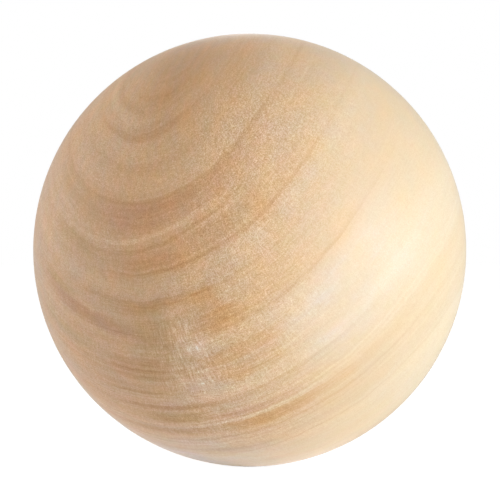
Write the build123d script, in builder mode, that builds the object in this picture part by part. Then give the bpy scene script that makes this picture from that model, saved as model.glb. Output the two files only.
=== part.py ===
"""A plain wooden ball, turned in one piece.

The ball is solid all through, with no bore, flat, groove or seam. Its section is a half disc swung
about the turning axis, which is how a lathe generates it between two centres. The stubs that hold
the blank there are parted off and sanded flush, so one unbroken spherical face is all that is left.

The origin is the ball's centre, +Z runs up the turning axis, and sizes are in millimetres.
"""

import os

from build123d import *

# Driving dimension
BALL_DIAMETER = 40.0

ball_radius = BALL_DIAMETER / 2

# The ball: a half disc, closed by the turning axis, swung through one full turn
with BuildPart() as ball:
    with BuildSketch(Plane.XZ) as half_disc:
        with BuildLine() as outline:
            meridian = CenterArc((0, 0), ball_radius, start_angle=-90, arc_size=180)
            Line(meridian @ 1, meridian @ 0)
        make_face()
    revolve(axis=Axis.Z)

ball.part.label = "ball"

os.makedirs("parts", exist_ok=True)
export_step(ball.part, "parts/ball.step")
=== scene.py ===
"""A plain turned ball of pale hardwood on a white sweep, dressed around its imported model.

Lengths in the mesh and the scene are metres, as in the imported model. The wood's own figures, such as
ring radii, are millimetres, because that is how a maker reads them off the blank.
"""

import logging
import math
from dataclasses import dataclass, field
from enum import Enum

import bmesh
import bpy
from mathutils import Matrix, Vector, noise


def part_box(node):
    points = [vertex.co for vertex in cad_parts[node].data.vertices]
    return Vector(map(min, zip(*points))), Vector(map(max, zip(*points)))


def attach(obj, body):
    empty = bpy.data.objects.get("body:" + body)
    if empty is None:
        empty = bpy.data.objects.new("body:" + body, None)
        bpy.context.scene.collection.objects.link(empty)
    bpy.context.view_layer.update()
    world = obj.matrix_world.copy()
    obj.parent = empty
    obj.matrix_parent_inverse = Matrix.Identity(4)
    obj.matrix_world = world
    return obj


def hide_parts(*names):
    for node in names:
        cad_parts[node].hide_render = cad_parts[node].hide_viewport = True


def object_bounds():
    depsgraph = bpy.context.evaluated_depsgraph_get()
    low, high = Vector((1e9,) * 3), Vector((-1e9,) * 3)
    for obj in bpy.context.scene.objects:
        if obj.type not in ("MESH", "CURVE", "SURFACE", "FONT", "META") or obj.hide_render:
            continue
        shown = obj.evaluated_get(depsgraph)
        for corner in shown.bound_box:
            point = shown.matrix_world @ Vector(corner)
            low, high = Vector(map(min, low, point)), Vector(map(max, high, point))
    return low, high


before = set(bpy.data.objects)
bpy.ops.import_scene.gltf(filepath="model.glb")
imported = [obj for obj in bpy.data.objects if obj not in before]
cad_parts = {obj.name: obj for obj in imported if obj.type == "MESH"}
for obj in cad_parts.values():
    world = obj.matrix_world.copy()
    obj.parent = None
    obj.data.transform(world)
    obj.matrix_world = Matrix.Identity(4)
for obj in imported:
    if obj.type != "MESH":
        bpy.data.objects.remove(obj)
CAD_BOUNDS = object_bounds()

MM = 0.001
BALL_NODE = "ball"
BODY = "root"

log = logging.getLogger("turned_ball")

Colour = tuple[float, float, float]
Socket = bpy.types.NodeSocket
Term = Socket | float


class Stain(Enum):
    """What a growth ring's dark wood leans to: how red, green and blue fall as it darkens."""

    TAN = (0.55, 1.0, 1.55)
    ORANGE = (0.35, 1.0, 2.05)
    UMBER = (0.85, 1.0, 1.1)
    ROSE = (0.45, 1.0, 1.15)
    OLIVE = (0.80, 0.95, 1.9)


@dataclass(frozen=True)
class GrowthRing:
    """One line or band of a year's growth, as it crosses the ball.

    A ring starts with an edge on the pith's side and fades outwards. It isn't as strong all the way
    round the trunk: it peaks at one bearing and thins out on both sides of it.

    start: how far from the pith its edge lies, in millimetres.
    width: how far it runs outwards from there until it has faded, in millimetres.
    depth: how much darker it is, as a natural logarithm in green, and paler where it is under 0.
    edge: how far its edge is spread to each side of the start, in millimetres.
    peak: the bearing at which it is strongest, in degrees.
    reach: how far to each side of its peak it thins out, in degrees.
    least: the share of its depth that is left beyond that.
    drift: how much further out it lies with each degree past its peak, in millimetres.
    lean: what its dark wood leans to.
    """

    start: float
    width: float
    depth: float
    edge: float = 0.15
    peak: float = 0.0
    reach: float = 35.0
    least: float = 0.35
    drift: float = 0.0
    lean: Stain = Stain.TAN


# Growth rings outwards from the pith, in millimetres and in degrees round it. A depth over 0 is
# darker than the wood around it, and one under 0 is paler.
GROWTH = (
    # A broad band, no single ring, that darkens the wood around the top of the ball
    GrowthRing(5.0, 9.0, 0.12, edge=1.0, peak=20, reach=36, least=0.0),
    GrowthRing(9.0, 5.5, -0.12, edge=1.0, peak=-34, reach=40, least=0.1, lean=Stain.UMBER),
    GrowthRing(10.4, 0.4, 0.08, edge=0.15, peak=0, reach=16, least=0.0),
    GrowthRing(10.9, 0.4, 0.11, edge=0.15, peak=-16, reach=14, least=0.0),
    # A broad band that carries that darkening further round the top
    GrowthRing(11.0, 3.5, 0.08, edge=1.0, peak=36, reach=10, least=0.0),
    GrowthRing(11.5, 0.4, -0.08, edge=0.15, peak=-16, reach=22, least=0.2),
    GrowthRing(11.7, 0.3, 0.10, edge=0.10, peak=0, reach=14, least=0.0, drift=-0.02),
    GrowthRing(12.15, 0.5, 0.19, edge=0.12, peak=-2, reach=30, least=0.1, drift=-0.012),
    GrowthRing(12.8, 1.6, 0.06, edge=0.50, peak=-24, reach=10, least=0.0, lean=Stain.OLIVE),
    GrowthRing(12.9, 1.0, -0.05, edge=0.30, peak=-10, reach=30),
    GrowthRing(14.0, 0.4, 0.07, edge=0.15, peak=0, reach=34, least=0.2),
    GrowthRing(14.7, 1.2, -0.06, edge=0.30, peak=0, reach=40, least=0.3),
    GrowthRing(15.5, 0.9, -0.04, edge=0.30, peak=14, reach=20, least=0.0),
    GrowthRing(16.3, 0.4, 0.15, edge=0.10, peak=6, reach=44, least=0.5),
    GrowthRing(16.4, 1.2, 0.07, edge=0.15, peak=6, reach=10, least=0.0, lean=Stain.ORANGE),
    GrowthRing(16.6, 2.4, 0.12, edge=0.25, peak=8, reach=30, least=0.1, lean=Stain.ROSE),
    GrowthRing(16.6, 2.2, 0.11, edge=0.30, peak=-27, reach=11, least=0.0, lean=Stain.OLIVE),
    GrowthRing(16.9, 1.8, 0.09, edge=0.30, peak=-11, reach=18, least=0.0, lean=Stain.ROSE),
    GrowthRing(18.9, 0.35, -0.17, edge=0.10, peak=-4, reach=26, least=0.2, drift=-0.03),
    GrowthRing(19.2, 5.6, 0.08, edge=0.60, peak=25, reach=3, least=0.0, lean=Stain.ORANGE),
    GrowthRing(19.5, 0.35, 0.17, edge=0.10, peak=2, reach=26, least=0.0, drift=-0.03),
    GrowthRing(19.9, 1.8, 0.08, edge=0.30, peak=8, reach=22, least=0.1, lean=Stain.ROSE),
    GrowthRing(19.9, 1.8, 0.06, edge=0.30, peak=16, reach=9, least=0.0, lean=Stain.OLIVE),
    GrowthRing(20.0, 6.0, -0.06, edge=1.0, peak=43, reach=9, least=0.0),
    GrowthRing(20.0, 1.5, 0.12, edge=0.30, peak=-26, reach=9, least=0.0, lean=Stain.OLIVE),
    GrowthRing(20.5, 1.6, 0.09, edge=0.30, peak=-3, reach=13, least=0.1, lean=Stain.ORANGE),
    GrowthRing(21.0, 3.5, -0.04, edge=0.6, peak=20, reach=8, least=0.0),
    GrowthRing(21.6, 0.35, 0.16, edge=0.10, peak=14, reach=34, least=0.1),
    GrowthRing(22.4, 1.2, -0.08, edge=0.25, peak=-18, reach=12, least=0.5),
    GrowthRing(23.85, 0.35, 0.17, edge=0.12, peak=-8, reach=20, least=0.0),
    GrowthRing(24.0, 0.8, 0.10, edge=0.15, peak=-3, reach=10, least=0.0, lean=Stain.ORANGE),
    GrowthRing(24.0, 10.0, 0.11, edge=0.60, peak=-6.5, reach=6, least=0.0, lean=Stain.OLIVE),
    GrowthRing(24.1, 2.6, 0.18, edge=0.20, peak=6.5, reach=4, least=0.0, lean=Stain.ORANGE),
    GrowthRing(24.3, 1.0, 0.07, edge=0.30, peak=-10, reach=8, least=0.0),
    GrowthRing(24.3, 0.9, 0.07, edge=0.25, peak=4, reach=26, least=0.0, lean=Stain.ORANGE),
    GrowthRing(24.8, 0.9, 0.12, edge=0.25, peak=-28, reach=6, least=0.0, lean=Stain.OLIVE),
    GrowthRing(25.9, 1.2, 0.14, edge=0.35, peak=-21, reach=19, least=0.0, drift=0.05, lean=Stain.ROSE),
    GrowthRing(25.9, 1.2, 0.09, edge=0.35, peak=-18, reach=17, least=0.0, drift=0.05, lean=Stain.UMBER),
    GrowthRing(26.3, 1.9, 0.20, edge=0.25, peak=7, reach=6.5, least=0.0, lean=Stain.ORANGE),
    GrowthRing(26.5, 1.2, 0.05, edge=0.30, peak=16, reach=10, least=0.0, lean=Stain.ORANGE),
    GrowthRing(27.4, 5.5, -0.05, edge=0.50, peak=1, reach=6, least=0.0),
    GrowthRing(27.5, 6.0, 0.05, edge=1.0, peak=33, reach=10, least=0.0),
    GrowthRing(27.6, 1.6, -0.11, edge=0.40, peak=1.5, reach=3.5, least=0.0, lean=Stain.ORANGE),
    GrowthRing(27.95, 0.25, 0.09, edge=0.10, peak=20, reach=26, least=0.0),
    GrowthRing(28.3, 0.9, -0.05, edge=0.25, peak=12, reach=34, least=0.0),
    GrowthRing(28.4, 1.8, 0.08, edge=0.30, peak=-27, reach=9, least=0.0, lean=Stain.OLIVE),
    GrowthRing(29.0, 9.0, -0.17, edge=1.0, peak=25, reach=15, least=0.0, lean=Stain.ORANGE),
    GrowthRing(29.3, 2.3, 0.17, edge=0.30, peak=-11, reach=7, least=0.0),
    GrowthRing(29.7, 1.2, 0.16, edge=0.25, peak=8, reach=11, least=0.0, lean=Stain.ORANGE),
    GrowthRing(30.5, 8.0, 0.06, edge=1.0, peak=-16, reach=14, least=0.0),
    GrowthRing(31.4, 1.8, -0.08, edge=0.40, peak=-1, reach=6, least=0.0, lean=Stain.ORANGE),
    GrowthRing(31.4, 1.3, 0.13, edge=0.30, peak=7, reach=8, least=0.0, lean=Stain.ORANGE),
    GrowthRing(32.1, 0.3, 0.12, edge=0.10, peak=-14, reach=8, least=0.0),
    GrowthRing(32.8, 0.4, 0.14, edge=0.10, peak=-12, reach=7, least=0.0),
    GrowthRing(33.2, 1.0, -0.11, edge=0.30, peak=2, reach=12, least=0.3),
    GrowthRing(34.2, 0.3, 0.06, edge=0.10, peak=14, reach=16, least=0.0),
    GrowthRing(34.5, 0.5, 0.16, edge=0.12, peak=-8, reach=12, least=0.0),
    GrowthRing(35.4, 1.5, 0.20, edge=0.30, peak=-7, reach=6, least=0.0, lean=Stain.OLIVE),
    GrowthRing(36.1, 0.8, 0.24, edge=0.15, peak=5, reach=9, least=0.0, lean=Stain.ROSE),
    GrowthRing(36.5, 0.2, -0.12, edge=0.08, peak=4, reach=34, least=0.4, drift=-0.02),
    GrowthRing(36.95, 0.2, -0.11, edge=0.08, peak=4, reach=34, least=0.4, drift=-0.02),
    GrowthRing(37.2, 1.1, 0.10, edge=0.15, peak=-9, reach=8, least=0.0, lean=Stain.UMBER),
    GrowthRing(37.3, 1.5, 0.24, edge=0.20, peak=6, reach=9, least=0.25, drift=-0.015, lean=Stain.ORANGE),
    GrowthRing(38.6, 8.0, -0.12, edge=1.0, peak=-17, reach=24, least=0.0, lean=Stain.ORANGE),
    GrowthRing(38.9, 0.25, 0.08, edge=0.08, peak=8, reach=40, least=0.3),
    GrowthRing(39.7, 0.25, -0.08, edge=0.08, peak=8, reach=40, least=0.3),
    GrowthRing(40.6, 0.6, 0.08, edge=0.20, peak=-2, reach=8, least=0.0, lean=Stain.UMBER),
    GrowthRing(41.3, 0.20, 0.07, edge=0.08, peak=8, reach=40, least=0.3),
    GrowthRing(41.4, 6.0, -0.16, edge=0.60, peak=14, reach=60, least=0.5),
    GrowthRing(46.0, 2.2, 0.20, edge=0.20, peak=0, reach=60, least=0.5),
)


@dataclass(frozen=True)
class Figure:
    """One kind of fine figure in the wood.

    repeats: how often it repeats in a millimetre outwards, round the trunk and along it.
    strength: how far it changes the wood's tone.
    detail: how many finer octaves it has.
    rough: how strong those are.
    """

    repeats: tuple[float, float, float]
    strength: float = 1.0
    detail: float = 2.0
    rough: float = 0.6


LAYERS = Figure((3.6, 0.04, 0.03), strength=0.42, detail=3.0, rough=0.7)
RAYS = Figure((1.2, 6.2, 2.4), strength=0.47, detail=1.0)
FIBRES = Figure((7.5, 1.3, 1.6), strength=0.50, detail=1.0)
PORES = Figure((12.0, 12.0, 7.0), strength=1.55, detail=1.0)
PATCHES = Figure((0.6, 0.22, 0.12))
HUES = Figure((0.45, 0.30, 0.25), strength=0.45, rough=0.55)
BLUSH = Figure((0.8, 0.5, 0.4), strength=0.34)


@dataclass(frozen=True)
class Sway:
    """One way in which the trunk grew unevenly.

    repeats: how often it repeats in a millimetre, across the trunk both ways and along it.
    reach: how far it moves the rings about, in millimetres.
    """

    repeats: tuple[float, float, float]
    reach: float


SWAYS = (
    Sway((0.09, 0.09, 0.036), reach=1.1),
    Sway((0.55, 0.55, 0.17), reach=0.35),
    Sway((2.2, 2.2, 0.5), reach=0.10),
)
SWAY_DETAIL = 1.5


@dataclass(frozen=True)
class Run:
    """How one measure of the wood changes smoothly as another grows.

    low: where the change starts.
    high: where it ends.
    start: the measure up to low.
    end: the measure from high on.
    """

    low: float
    high: float
    start: float
    end: float


# By millimetres from the ball's centre towards the side the key light falls on: the share of the paler,
# less red colour there, partly sapwood and partly painted highlight; how strongly the figure shows,
# which fades there as painted highlight; and painted light and shade, the wood paler there and darker
# opposite
SAP_AND_HIGHLIGHT_SHARE = Run(-14.0, 18.0, start=0.0, end=1.0)
FIGURE_KEPT_UNDER_HIGHLIGHT = Run(-4.0, 17.0, start=1.0, end=0.40)
PAINTED_LIGHT_TONE = Run(-16.0, 18.0, start=0.07, end=-0.10)

# How crisp the finest figure is: by millimetres to the right, less a share of those upwards, and by
# millimetres up. Its fade towards the lit right side is painted highlight washing the figure out
CRISP_TILT = 0.25
CRISP_FROM_LEFT = Run(-9.0, -4.0, start=0.62, end=0.95)
CRISP_TO_RIGHT = Run(-3.0, 9.0, start=1.0, end=0.18)
CRISP_AT_CROWN = Run(10.0, 18.0, start=1.0, end=0.4)
CRISP_AT_FOOT = Run(-19.0, -15.0, start=0.4, end=1.1)

# How strong the layers within a year are, by degrees round the pith and by millimetres from it
LAYERS_ROUND = Run(12.0, 30.0, start=1.0, end=0.45)
LAYERS_OUT = Run(18.0, 38.0, start=0.6, end=1.5)

# How strong the growth rings are, by the wood's patches and by the layers within a year
RINGS_BY_PATCH = Run(0.3, 0.7, start=0.95, end=1.4)
RINGS_BY_LAYER = Run(0.3, 0.7, start=0.75, end=1.25)

# The patch of open end grain, by millimetres from the pith and by degrees round it, and how much
# stronger the rays are in it
END_GRAIN_OUT = (Run(24.0, 27.0, start=0.0, end=1.0), Run(31.0, 33.5, start=1.0, end=0.0))
END_GRAIN_ROUND = (Run(-11.0, -5.0, start=0.0, end=1.0), Run(0.0, 5.0, start=1.0, end=0.0))
END_GRAIN_RAYS = 0.7

# Wood that is less warm low on the left, by millimetres towards there and by millimetres back. It ends
# at the back, where no wood loses more than a little of its warmth
COOLER_SIDE = Vector((-0.75, -0.10, -0.65))
COOLING = Run(5.0, 18.0, start=0.0, end=0.15)
COOLING_BACK = Run(-1.5, 8.0, start=1.0, end=0.0)
LEAST_WARMTH = Run(-1.5, 8.0, start=-1.0, end=-0.10)

# How rough the surface is, from the wood between pores to the inside of one
PORE_ROUGHNESS = Run(0.3, 0.7, start=0.56, end=0.68)


@dataclass(frozen=True)
class Trunk:
    """Where the ball sat in the tree.

    along: the way the trunk grew, in the ball's own axes.
    outwards: from the pith towards the ball's centre, square to the trunk.
    offset: how far the ball's centre lies from the pith, in millimetres.
    """

    along: Vector = Vector((-0.244, -0.853, -0.461)).normalized()
    outwards: Vector = Vector((0.353, 0.365, -0.862)).normalized()
    offset: float = 29.4

    def to_grain(self) -> Matrix:
        """Works out how a point of the ball lies in the trunk.

        Returns:
            The matrix from the ball's axes in metres to the trunk's in millimetres: X outwards
            through the ball, Y round the trunk and Z along it, with the pith on the Z axis.
        """
        outwards = (self.outwards - self.along * self.outwards.dot(self.along)).normalized()
        across = self.along.cross(outwards)
        turn = Matrix((outwards, across, self.along)).to_4x4()
        return Matrix.Translation((self.offset, 0, 0)) @ Matrix.Scale(1 / MM, 4) @ turn


class Bench:
    """Lays out and wires the shader nodes of one material or of the world."""

    def __init__(self, owner: bpy.types.Material | bpy.types.World) -> None:
        """Starts the owner's tree empty.

        Args:
            owner: The material or world.
        """
        owner.use_nodes = True
        self.tree = owner.node_tree
        self.tree.nodes.clear()

    def add(self, kind: str, **settings: object) -> bpy.types.Node:
        """Adds one node.

        Args:
            kind: The node's type, such as ShaderNodeMath.
            settings: Properties to set on it.

        Returns:
            The new node.
        """
        node = self.tree.nodes.new(kind)
        for key, value in settings.items():
            setattr(node, key, value)
        return node

    def feed(self, socket: Socket, value: object) -> None:
        """Links an output to a socket, or writes a plain value there.

        Args:
            socket: The input.
            value: An output socket, a number, or a tuple of numbers.
        """
        if isinstance(value, bpy.types.NodeSocket):
            self.tree.links.new(value, socket)
        else:
            socket.default_value = value

    def calc(self, operation: str, *terms: Term) -> Socket:
        """Adds a Math node.

        Args:
            operation: The node's operation.
            terms: Its inputs, in order.

        Returns:
            Its output.
        """
        node = self.add("ShaderNodeMath", operation=operation)
        for socket, term in zip(node.inputs, terms):
            self.feed(socket, term)
        return node.outputs[0]

    def total(self, terms: list[Socket]) -> Socket:
        """Adds up several sockets.

        Args:
            terms: The outputs.

        Returns:
            Their sum, which is a node's zero where there are none.
        """
        if not terms:
            return self.calc("ADD", 0.0, 0.0)
        result = terms[0]
        for term in terms[1:]:
            result = self.calc("ADD", result, term)
        return result

    def product(self, *terms: Socket) -> Socket:
        """Multiplies several sockets.

        Args:
            terms: At least one output.

        Returns:
            Their product.
        """
        result = terms[0]
        for term in terms[1:]:
            result = self.calc("MULTIPLY", result, term)
        return result

    def vector(self, operation: str, *terms: object) -> Socket:
        """Adds a Vector Math node.

        Args:
            operation: The node's operation.
            terms: Its vector inputs, in order.

        Returns:
            Its vector output, or its number where the operation gives one.
        """
        node = self.add("ShaderNodeVectorMath", operation=operation)
        for socket, term in zip(node.inputs, terms):
            self.feed(socket, term)
        return node.outputs["Value" if operation in ("LENGTH", "DOT_PRODUCT") else "Vector"]

    def join(self, x: Term, y: Term, z: Term) -> Socket:
        """Puts three numbers together as one vector.

        Args:
            x: The first.
            y: The second.
            z: The third.

        Returns:
            The vector.
        """
        node = self.add("ShaderNodeCombineXYZ")
        for socket, term in zip(node.inputs, (x, y, z)):
            self.feed(socket, term)
        return node.outputs[0]

    def part(self, value: Socket) -> list[Socket]:
        """Takes one vector apart.

        Args:
            value: The vector.

        Returns:
            Its three numbers.
        """
        node = self.add("ShaderNodeSeparateXYZ")
        self.feed(node.inputs[0], value)
        return list(node.outputs)

    def ease(self, value: Term, low: Term, high: Term, start: float, end: float) -> Socket:
        """Runs smoothly from start to end while a value runs from low to high.

        Args:
            value: What is read.
            low: Where the run starts.
            high: Where it ends.
            start: The result up to low.
            end: The result from high on.

        Returns:
            The eased value.
        """
        node = self.add("ShaderNodeMapRange", interpolation_type="SMOOTHSTEP")
        for socket, term in zip(node.inputs, (value, low, high, start, end)):
            self.feed(socket, term)
        return node.outputs[0]

    def follow(self, value: Term, run: Run) -> Socket:
        """Reads a run at a value."""
        return self.ease(value, run.low, run.high, run.start, run.end)

    def cloud(self, place: Socket, detail: float, rough: float = 0.5) -> bpy.types.Node:
        """Adds a Noise Texture that repeats about once in each unit.

        Args:
            place: Where it is read.
            detail: How many finer octaves it has.
            rough: How strong those are.

        Returns:
            The node, whose first output runs from 0 to 1 about a mean of a half.
        """
        node = self.add("ShaderNodeTexNoise", noise_dimensions="3D")
        self.feed(node.inputs["Vector"], place)
        node.inputs["Scale"].default_value = 1.0
        node.inputs["Detail"].default_value = detail
        node.inputs["Roughness"].default_value = rough
        return node

    def mix(self, share: Socket, none: Colour, full: Colour) -> Socket:
        """Mixes two colours.

        Args:
            share: How much there is of the second.
            none: The colour where that is zero.
            full: The colour where it is one.

        Returns:
            The mixed colour.
        """
        node = self.add("ShaderNodeMix", data_type="VECTOR")
        self.feed(node.inputs["Factor"], share)
        for socket in node.inputs:
            if socket.type == "VECTOR" and socket.name in ("A", "B"):
                self.feed(socket, none if socket.name == "A" else full)
        return next(socket for socket in node.outputs if socket.type == "VECTOR")

    def about_zero(self, value: Socket, strength: Term) -> Socket:
        """Moves a value that runs about a half to one that runs about zero, at a strength."""
        return self.calc("MULTIPLY", self.calc("SUBTRACT", value, 0.5), strength)


@dataclass(frozen=True)
class Grain:
    """The sockets that say where in the trunk a point of the wood lay.

    place: millimetres outwards, across and along.
    log: millimetres from the pith, round the trunk and along it.
    radius: distance from the pith, in millimetres.
    bearing: angle about the pith, in degrees.
    """

    place: Socket
    log: Socket
    radius: Socket
    bearing: Socket


@dataclass(frozen=True)
class Spot:
    """The sockets that say where on the ball a point lies, from the ball's centre.

    at: the point itself, in metres.
    right: millimetres to the right.
    back: millimetres back.
    up: millimetres up.
    side: millimetres towards the side that the key light falls on.
    """

    at: Socket
    right: Socket
    back: Socket
    up: Socket
    side: Socket


@dataclass(frozen=True)
class SandedHardwood:
    """Bare pale hardwood, sanded fine and left matt, with its grain running right through it.

    trunk: where the ball sat in the tree.
    heart: the wood's colour between its rings, on the side away from the key light, where the figure
    shows more.
    sap: its colour on the side the key light falls on, paler and less red: partly sapwood, partly
    painted highlight.
    lit_side: the way that lit side lies from the ball's centre.
    core: the share of a ring's reach over which it keeps its full depth.
    held: the share of its width over which it does so.
    gloss: how strongly the sanded surface shines.
    nap: how far its fine fibres catch the light at a low angle.
    nap_rough: how broadly they do so.
    pore_bump: how strongly pores and rays shade the surface.
    pore_depth: how deep they are, in millimetres.
    """

    trunk: Trunk
    heart: Colour = (0.800, 0.494, 0.266)
    sap_and_highlight: Colour = (0.66, 0.512, 0.325)
    lit_side: Vector = Vector((0.97, 0.05, -0.12))
    core: float = 0.3
    held: float = 0.35
    gloss: float = 0.65
    nap: float = 0.50
    nap_rough: float = 0.25
    pore_bump: float = 0.35
    pore_depth: float = 0.02

    def spot(self, bench: Bench) -> Spot:
        """Finds each point's place on the ball.

        Args:
            bench: Where its nodes go.

        Returns:
            The place, as sockets.
        """
        at = bench.add("ShaderNodeTexCoord").outputs["Object"]
        right, back, up = bench.part(bench.vector("MULTIPLY", at, (1 / MM, 1 / MM, 1 / MM)))
        side = bench.vector("DOT_PRODUCT", at, tuple(self.lit_side / MM))
        return Spot(at, right, back, up, side)

    def grain(self, bench: Bench, at: Socket) -> Grain:
        """Finds each point's place in a trunk that wasn't quite straight or round.

        Args:
            bench: Where its nodes go.
            at: The point on the ball.

        Returns:
            The place, as sockets.
        """
        lie = bench.add("ShaderNodeMapping", vector_type="POINT")
        place, turn, size = self.trunk.to_grain().decompose()
        bench.feed(lie.inputs["Vector"], at)
        bench.feed(lie.inputs["Location"], place)
        bench.feed(lie.inputs["Rotation"], turn.to_euler())
        bench.feed(lie.inputs["Scale"], size)
        straight = lie.outputs[0]
        bent = straight
        for sway in SWAYS:
            wave = bench.cloud(bench.vector("MULTIPLY", straight, sway.repeats), SWAY_DETAIL)
            centred = bench.vector("SUBTRACT", wave.outputs["Color"], (0.5, 0.5, 0.5))
            moved = bench.vector("MULTIPLY", centred, (sway.reach, sway.reach, 0.0))
            bent = bench.vector("ADD", bent, moved)
        out, across, along = bench.part(bent)
        radius = bench.vector("LENGTH", bench.join(out, across, 0.0))
        turned = bench.calc("ARCTAN2", across, out)
        arc = bench.calc("MULTIPLY", turned, self.trunk.offset)
        return Grain(bent, bench.join(radius, arc, along), radius, bench.calc("DEGREES", turned))

    def figure(self, bench: Bench, where: Socket, kind: Figure) -> Socket:
        """Reads one kind of fine figure, from 0 to 1 about a mean of a half."""
        spread = bench.vector("MULTIPLY", where, kind.repeats)
        return bench.cloud(spread, kind.detail, kind.rough).outputs[0]

    def ring_tone(self, bench: Bench, grain: Grain, ring: GrowthRing) -> Socket:
        """Lays one growth ring.

        Args:
            bench: Where its nodes go.
            grain: Where each point lies in the trunk.
            ring: The ring.

        Returns:
            Its tone at each point.
        """
        past_peak = bench.calc("SUBTRACT", grain.bearing, ring.peak)
        radius = grain.radius
        if ring.drift:
            radius = bench.calc("SUBTRACT", radius, bench.calc("MULTIPLY", past_peak, ring.drift))
        fade_from = ring.start + ring.edge + ring.width * self.held
        fade_to = ring.start + ring.edge + ring.width
        inner = bench.ease(radius, ring.start - ring.edge, ring.start + ring.edge, 0.0, ring.depth)
        outer = bench.ease(radius, fade_from, fade_to, 1.0, 0.0)
        off_peak = bench.calc("ABSOLUTE", past_peak)
        share = bench.ease(off_peak, ring.reach * self.core, ring.reach, 1.0, ring.least)
        return bench.product(inner, outer, share)

    def ring_tones(self, bench: Bench, grain: Grain, uneven: Socket) -> dict[Stain, Socket]:
        """Lays all the growth rings.

        Args:
            bench: Where their nodes go.
            grain: Where each point lies in the trunk.
            uneven: How strong they are at each point.

        Returns:
            Their tone in each stain.
        """
        tones: dict[Stain, Socket] = {}
        for lean in Stain:
            rings = [self.ring_tone(bench, grain, ring) for ring in GROWTH if ring.lean is lean]
            tones[lean] = bench.product(bench.total(rings), uneven)
        return tones

    def ray_strength(self, bench: Bench, grain: Grain) -> Socket:
        """Gives the rays' strength, which is far greater in one patch of open end grain.

        Args:
            bench: Where its nodes go.
            grain: Where each point lies in the trunk.

        Returns:
            The strength.
        """
        sides = [bench.follow(grain.radius, run) for run in END_GRAIN_OUT]
        sides += [bench.follow(grain.bearing, run) for run in END_GRAIN_ROUND]
        return bench.calc("MULTIPLY_ADD", bench.product(*sides), END_GRAIN_RAYS, RAYS.strength)

    def crispness(self, bench: Bench, spot: Spot) -> Socket:
        """Works out how crisp the finest figure is.

        Args:
            bench: Where its nodes go.
            spot: Where each point lies on the ball.

        Returns:
            The share of its strength that it has there.
        """
        leaning = bench.calc("MULTIPLY", bench.calc("MAXIMUM", spot.up, 0.0), CRISP_TILT)
        tilted = bench.calc("SUBTRACT", spot.right, leaning)
        return bench.product(
            bench.follow(tilted, CRISP_FROM_LEFT),
            bench.follow(tilted, CRISP_TO_RIGHT),
            bench.follow(spot.up, CRISP_AT_CROWN),
            bench.follow(spot.up, CRISP_AT_FOOT),
        )

    def cooler_low_left(self, bench: Bench, spot: Spot) -> Socket:
        """Works out how much less warm the wood low on the left is.

        Args:
            bench: Where its nodes go.
            spot: Where each point lies on the ball.

        Returns:
            How much less warm it is.
        """
        low_left = bench.vector("DOT_PRODUCT", spot.at, tuple(COOLER_SIDE / MM))
        return bench.product(bench.follow(low_left, COOLING), bench.follow(spot.back, COOLING_BACK))

    def stained(self, bench: Bench, plain: Socket, tones: dict[Stain, Socket]) -> Socket:
        """Darkens the plain wood.

        Args:
            bench: Where its nodes go.
            plain: The wood's colour with no figure.
            tones: How much darker each stain makes it, as a natural logarithm in green.

        Returns:
            The wood's colour.
        """
        depth = (0.0, 0.0, 0.0)
        for lean, tone in tones.items():
            darker = bench.vector("MULTIPLY", bench.join(tone, tone, tone), lean.value)
            depth = bench.vector("ADD", depth, darker)
        lighter = [bench.calc("MULTIPLY", part, -1.0) for part in bench.part(depth)]
        kept = [bench.calc("EXPONENT", part) for part in lighter]
        return bench.vector("MULTIPLY", plain, bench.join(*kept))

    def surface(self, bench: Bench, wood: Socket, pores: Socket, rays: Socket) -> None:
        """Sets up the shader: matt, with pores and rays that are a little open.

        Args:
            bench: Where its nodes go.
            wood: The wood's colour.
            pores: The pores' figure.
            rays: The rays' figure.
        """
        bump = bench.add("ShaderNodeBump")
        bump.inputs["Strength"].default_value = self.pore_bump
        bump.inputs["Distance"].default_value = self.pore_depth * MM
        open_wood = bench.calc("MULTIPLY", bench.calc("ADD", pores, rays), -1.0)
        bench.feed(bump.inputs["Height"], open_wood)

        shader = bench.add("ShaderNodeBsdfPrincipled")
        bench.feed(shader.inputs["Base Color"], wood)
        bench.feed(shader.inputs["Roughness"], bench.follow(pores, PORE_ROUGHNESS))
        bench.feed(shader.inputs["Normal"], bump.outputs[0])
        shader.inputs["Specular IOR Level"].default_value = self.gloss
        shader.inputs["Sheen Weight"].default_value = self.nap
        shader.inputs["Sheen Roughness"].default_value = self.nap_rough
        output = bench.add("ShaderNodeOutputMaterial")
        bench.feed(output.inputs["Surface"], shader.outputs[0])

    def material(self) -> bpy.types.Material:
        """Makes the finish.

        Returns:
            The material.
        """
        finish = bpy.data.materials.new("sanded_hardwood")
        bench = Bench(finish)
        spot = self.spot(bench)
        grain = self.grain(bench, spot.at)
        # Painted highlight: the figure fades towards the key light, as if washed out there
        kept_under_highlight = bench.follow(spot.side, FIGURE_KEPT_UNDER_HIGHLIGHT)

        # Growth rings, unevenly strong
        layers = self.figure(bench, grain.log, LAYERS)
        patches = self.figure(bench, grain.log, PATCHES)
        by_patch = bench.follow(patches, RINGS_BY_PATCH)
        by_layer = bench.follow(layers, RINGS_BY_LAYER)
        tones = self.ring_tones(bench, grain, bench.product(by_patch, by_layer, kept_under_highlight))

        # Fine layers within each year, long streaks along the rays, and pores along the trunk
        rays = self.figure(bench, grain.log, RAYS)
        fibres = self.figure(bench, grain.log, FIBRES)
        pores = self.figure(bench, grain.place, PORES)
        fine = bench.total([
            bench.about_zero(rays, self.ray_strength(bench, grain)),
            bench.about_zero(fibres, FIBRES.strength),
            bench.about_zero(pores, PORES.strength),
        ])
        fine = bench.product(fine, self.crispness(bench, spot))
        coarse = bench.product(
            bench.about_zero(layers, LAYERS.strength),
            kept_under_highlight,
            bench.follow(grain.bearing, LAYERS_ROUND),
            bench.follow(grain.radius, LAYERS_OUT),
        )
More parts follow.
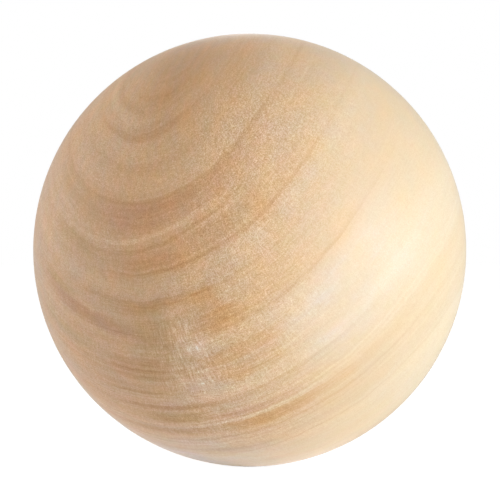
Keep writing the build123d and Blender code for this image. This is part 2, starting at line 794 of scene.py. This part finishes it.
        # Painted light and shade: the wood paler towards the key light and darker away from it
        broad = bench.follow(spot.side, PAINTED_LIGHT_TONE)
        tones[Stain.TAN] = bench.total([tones[Stain.TAN], fine, coarse, broad])

        # Some of the wood runs redder and some yellower
        hues = bench.about_zero(self.figure(bench, grain.log, HUES), HUES.strength)
        warmth = bench.calc("SUBTRACT", bench.product(hues, kept_under_highlight), self.cooler_low_left(bench, spot))
        warmed = bench.calc("ADD", tones[Stain.ORANGE], warmth)
        tones[Stain.ORANGE] = bench.calc("MAXIMUM", warmed, bench.follow(spot.back, LEAST_WARMTH))
        tones[Stain.UMBER] = bench.calc("SUBTRACT", tones[Stain.UMBER], warmth)
        blush = bench.about_zero(self.figure(bench, grain.log, BLUSH), BLUSH.strength)
        blush = bench.product(blush, kept_under_highlight)
        tones[Stain.ROSE] = bench.calc("ADD", tones[Stain.ROSE], blush)
        tones[Stain.OLIVE] = bench.calc("SUBTRACT", tones[Stain.OLIVE], blush)

        # Paler, less red colour towards the key light: partly sapwood, partly painted highlight
        plain = bench.mix(bench.follow(spot.side, SAP_AND_HIGHLIGHT_SHARE), self.heart, self.sap_and_highlight)
        self.surface(bench, self.stained(bench, plain, tones), pores, rays)
        return finish


@dataclass
class TurnedBall:
    """The ball itself, one solid piece turned and sanded by hand.

    trunk: where it sat in the tree.
    finish: its wood.
    facets: how many faces run along each edge of the cube that the ball is rounded from.
    hollow: how deep sanding goes at most where it left a soft flat, in millimetres.
    flats: how often such a flat comes, in each ball radius.
    raised: how much deeper the soft layers of a year are sanded than its hard ones, in millimetres.
    layers: how many of those come in a millimetre.
    piece: its object, once it is built.
    """

    trunk: Trunk
    finish: SandedHardwood
    facets: int = 128
    hollow: float = 0.020
    flats: float = 2.7
    raised: float = 0.012
    layers: float = 0.9
    piece: bpy.types.Object | None = field(default=None, init=False)

    def radius(self) -> float:
        """Gives the ball's radius in metres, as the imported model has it."""
        low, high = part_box(BALL_NODE)
        return min(high - low) / 2

    def depth(self, direction: Vector, spot: Vector) -> float:
        """Works out how far sanding has taken the surface below the true sphere.

        Args:
            direction: Unit vector from the ball's centre.
            spot: The same point in the trunk, in millimetres.

        Returns:
            The depth in millimetres, never under zero.
        """
        flat = 0.5 + 0.5 * noise.noise(direction * self.flats)
        from_pith = Vector((spot.x, spot.y)).length
        hard = noise.noise(Vector((from_pith * self.layers, 0.0, 0.0)))
        return self.hollow * flat + self.raised * (0.5 - 0.5 * hard)

    def build(self) -> bpy.types.Object:
        """Models the ball.

        Returns:
            Its object.
        """
        radius = self.radius()
        to_grain = self.trunk.to_grain()
        bm = bmesh.new()
        bmesh.ops.create_cube(bm, size=2.0)
        bmesh.ops.subdivide_edges(bm, edges=bm.edges[:], cuts=self.facets - 1, use_grid_fill=True)
        for vert in bm.verts:
            direction = Vector(math.tan(c * math.pi / 4) for c in vert.co).normalized()
            place = direction * radius
            vert.co = direction * (radius - self.depth(direction, to_grain @ place) * MM)
        bmesh.ops.recalc_face_normals(bm, faces=bm.faces[:])
        mesh = bpy.data.meshes.new("turned_ball")
        bm.to_mesh(mesh)
        bm.free()
        mesh.shade_smooth()
        self.piece = bpy.data.objects.new("turned_ball", mesh)
        bpy.context.scene.collection.objects.link(self.piece)
        return self.piece

    def dress(self) -> None:
        """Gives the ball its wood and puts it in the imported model's place."""
        self.piece.data.materials.append(self.finish.material())
        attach(self.piece, BODY)
        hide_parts(BALL_NODE)


@dataclass
class WhiteSweep:
    """A plain pale floor that the ball rests on, and the white all around it.

    level: the floor's height, in metres.
    reach: how far it runs each way, in metres.
    paper: how much light the floor sends back onto the ball.
    shown: the share of that light which the camera sees, so that the ball's shadow stays in it.
    glow: the white that the camera sees over it, which brings an open stretch of floor to white.
    around: the strength of the plain light from all round.
    """

    level: float
    reach: float = 3.0
    paper: float = 0.86
    shown: float = 0.35
    glow: float = 0.94
    around: float = 0.26

    def seen(self, bench: Bench) -> Socket:
        """Tells the rays that look at the white from those that carry its light to the ball.

        Args:
            bench: Where its nodes go.

        Returns:
            One for a ray that comes from the camera, a gloss or a clear thing, and zero for others.
        """
        path = bench.add("ShaderNodeLightPath")
        glossy = path.outputs["Is Glossy Ray"]
        mirrored = bench.calc("MAXIMUM", glossy, path.outputs["Is Transmission Ray"])
        return bench.calc("MAXIMUM", path.outputs["Is Camera Ray"], mirrored)

    def paper_material(self) -> bpy.types.Material:
        """Makes the floor's finish: matt paper that the camera sees near white.

        Returns:
            The material.
        """
        paper = bpy.data.materials.new("sweep_paper")
        bench = Bench(paper)
        seen = self.seen(bench)
        sent_back = bench.ease(seen, 0.0, 1.0, self.paper, self.paper * self.shown)
        matt = bench.add("ShaderNodeBsdfDiffuse")
        bench.feed(matt.inputs["Color"], bench.join(sent_back, sent_back, sent_back))
        white = bench.add("ShaderNodeEmission")
        bench.feed(white.inputs["Strength"], bench.calc("MULTIPLY", seen, self.glow))
        both = bench.add("ShaderNodeAddShader")
        bench.feed(both.inputs[0], matt.outputs[0])
        bench.feed(both.inputs[1], white.outputs[0])
        output = bench.add("ShaderNodeOutputMaterial")
        bench.feed(output.inputs["Surface"], both.outputs[0])
        return paper

    def build(self) -> bpy.types.Object:
        """Lays the floor.

        Returns:
            Its object.
        """
        bm = bmesh.new()
        bmesh.ops.create_grid(bm, x_segments=1, y_segments=1, size=self.reach)
        bmesh.ops.translate(bm, verts=bm.verts[:], vec=(0, 0, self.level))
        mesh = bpy.data.meshes.new("sweep")
        bm.to_mesh(mesh)
        bm.free()
        floor = bpy.data.objects.new("sweep", mesh)
        floor.data.materials.append(self.paper_material())
        bpy.context.scene.collection.objects.link(floor)
        return floor

    def surround(self) -> None:
        """Fills the world with white: plain soft light, and a white background where it is seen."""
        world = bpy.data.worlds.new("white_surround")
        bench = Bench(world)
        back = bench.add("ShaderNodeBackground")
        back.inputs["Color"].default_value = (1.0, 1.0, 1.0, 1.0)
        bench.feed(back.inputs["Strength"], bench.ease(self.seen(bench), 0.0, 1.0, self.around, 1.0))
        output = bench.add("ShaderNodeOutputWorld")
        bench.feed(output.inputs["Surface"], back.outputs[0])
        bpy.context.scene.world = world


class Face(Enum):
    """The shape of a studio light's face."""

    SQUARE = "SQUARE"
    DISK = "DISK"


@dataclass(frozen=True)
class SoftBox:
    """A plain white studio light with a broad flat face.

    name: its name in the scene.
    direction: where it stands, seen from the ball's centre.
    distance: how far off it stands, in metres.
    side: how wide its face is, in metres.
    power: its power in watts.
    face: the shape of its face.
    """

    name: str
    direction: Vector
    distance: float
    side: float
    power: float
    face: Face = Face.SQUARE

    def build(self) -> bpy.types.Object:
        """Sets up the light, facing the ball's centre.

        Returns:
            Its object.
        """
        data = bpy.data.lights.new(self.name, "AREA")
        data.shape = self.face.value
        data.size = self.side
        data.energy = self.power
        lamp = bpy.data.objects.new(self.name, data)
        lamp.location = self.direction.normalized() * self.distance
        lamp.rotation_euler = (-self.direction).to_track_quat("-Z", "Y").to_euler()
        lamp.visible_camera = False
        bpy.context.scene.collection.objects.link(lamp)
        return lamp


@dataclass(frozen=True)
class LongLens:
    """The camera: level with the ball and well back from it, as the photograph was taken.

    radii_away: its distance from the ball's centre, in ball radii.
    picture: how wide and how tall the picture is, in pixels.
    ball_width: how wide the ball is in it, in pixels.
    middle: where the ball's middle is in it, in pixels from its left and its top.
    sensor: the width of the camera's sensor, in millimetres.
    """

    radii_away: float = 12.0
    picture: float = 500.0
    ball_width: float = 433.4
    middle: tuple[float, float] = (249.75, 250.08)
    sensor: float = 36.0

    def build(self, ball_radius: float) -> bpy.types.Object:
        """Sets up the camera on the viewer's side of the ball.

        Args:
            ball_radius: The ball's radius in metres.

        Returns:
            The camera.
        """
        data = bpy.data.cameras.new("long_lens")
        data.sensor_width = self.sensor
        half_angle = math.asin(1 / self.radii_away)
        data.lens = self.sensor * (self.ball_width / 2 / self.picture) / math.tan(half_angle)
        data.shift_x = (self.picture / 2 - self.middle[0]) / self.picture
        data.shift_y = (self.middle[1] - self.picture / 2) / self.picture
        camera = bpy.data.objects.new("long_lens", data)
        camera.location = (0, -self.radii_away * ball_radius, 0)
        camera.rotation_euler = (math.pi / 2, 0, 0)
        bpy.context.scene.collection.objects.link(camera)
        bpy.context.scene.camera = camera
        return camera


def main() -> None:
    """Builds the ball, its surroundings, the lights and the camera."""
    logging.basicConfig(level=logging.INFO, format="%(name)s: %(message)s")
    bpy.context.scene.view_settings.view_transform = "Standard"

    trunk = Trunk()
    ball = TurnedBall(trunk, SandedHardwood(trunk))
    piece = ball.build()
    ball.dress()
    log.info("%s: %d faces", piece.name, len(piece.data.polygons))

    sweep = WhiteSweep(level=CAD_BOUNDS[0].z)
    log.info("%s laid at %.3f m", sweep.build().name, sweep.level)
    sweep.surround()

    just_over_floor = 0.0002
    to_floor = -sweep.level - just_over_floor
    lamps = (
        SoftBox("key_softbox", Vector((0.87, -0.50, -0.01)), distance=0.8, side=0.6, power=13.1),
        SoftBox("left_panel", Vector((-0.92, 0.25, 0.35)), distance=0.8, side=0.5, power=2.45),
        SoftBox("lit_tabletop", Vector((0, 0, -1)), to_floor, side=0.2, power=0.0145, face=Face.DISK),
    )
    for lamp in lamps:
        log.info("%s: %.3g W", lamp.build().name, lamp.power)

    camera = LongLens().build(ball.radius())
    log.info("%s at %.0f mm", camera.name, camera.data.lens)


if __name__ == "__main__":
    main()
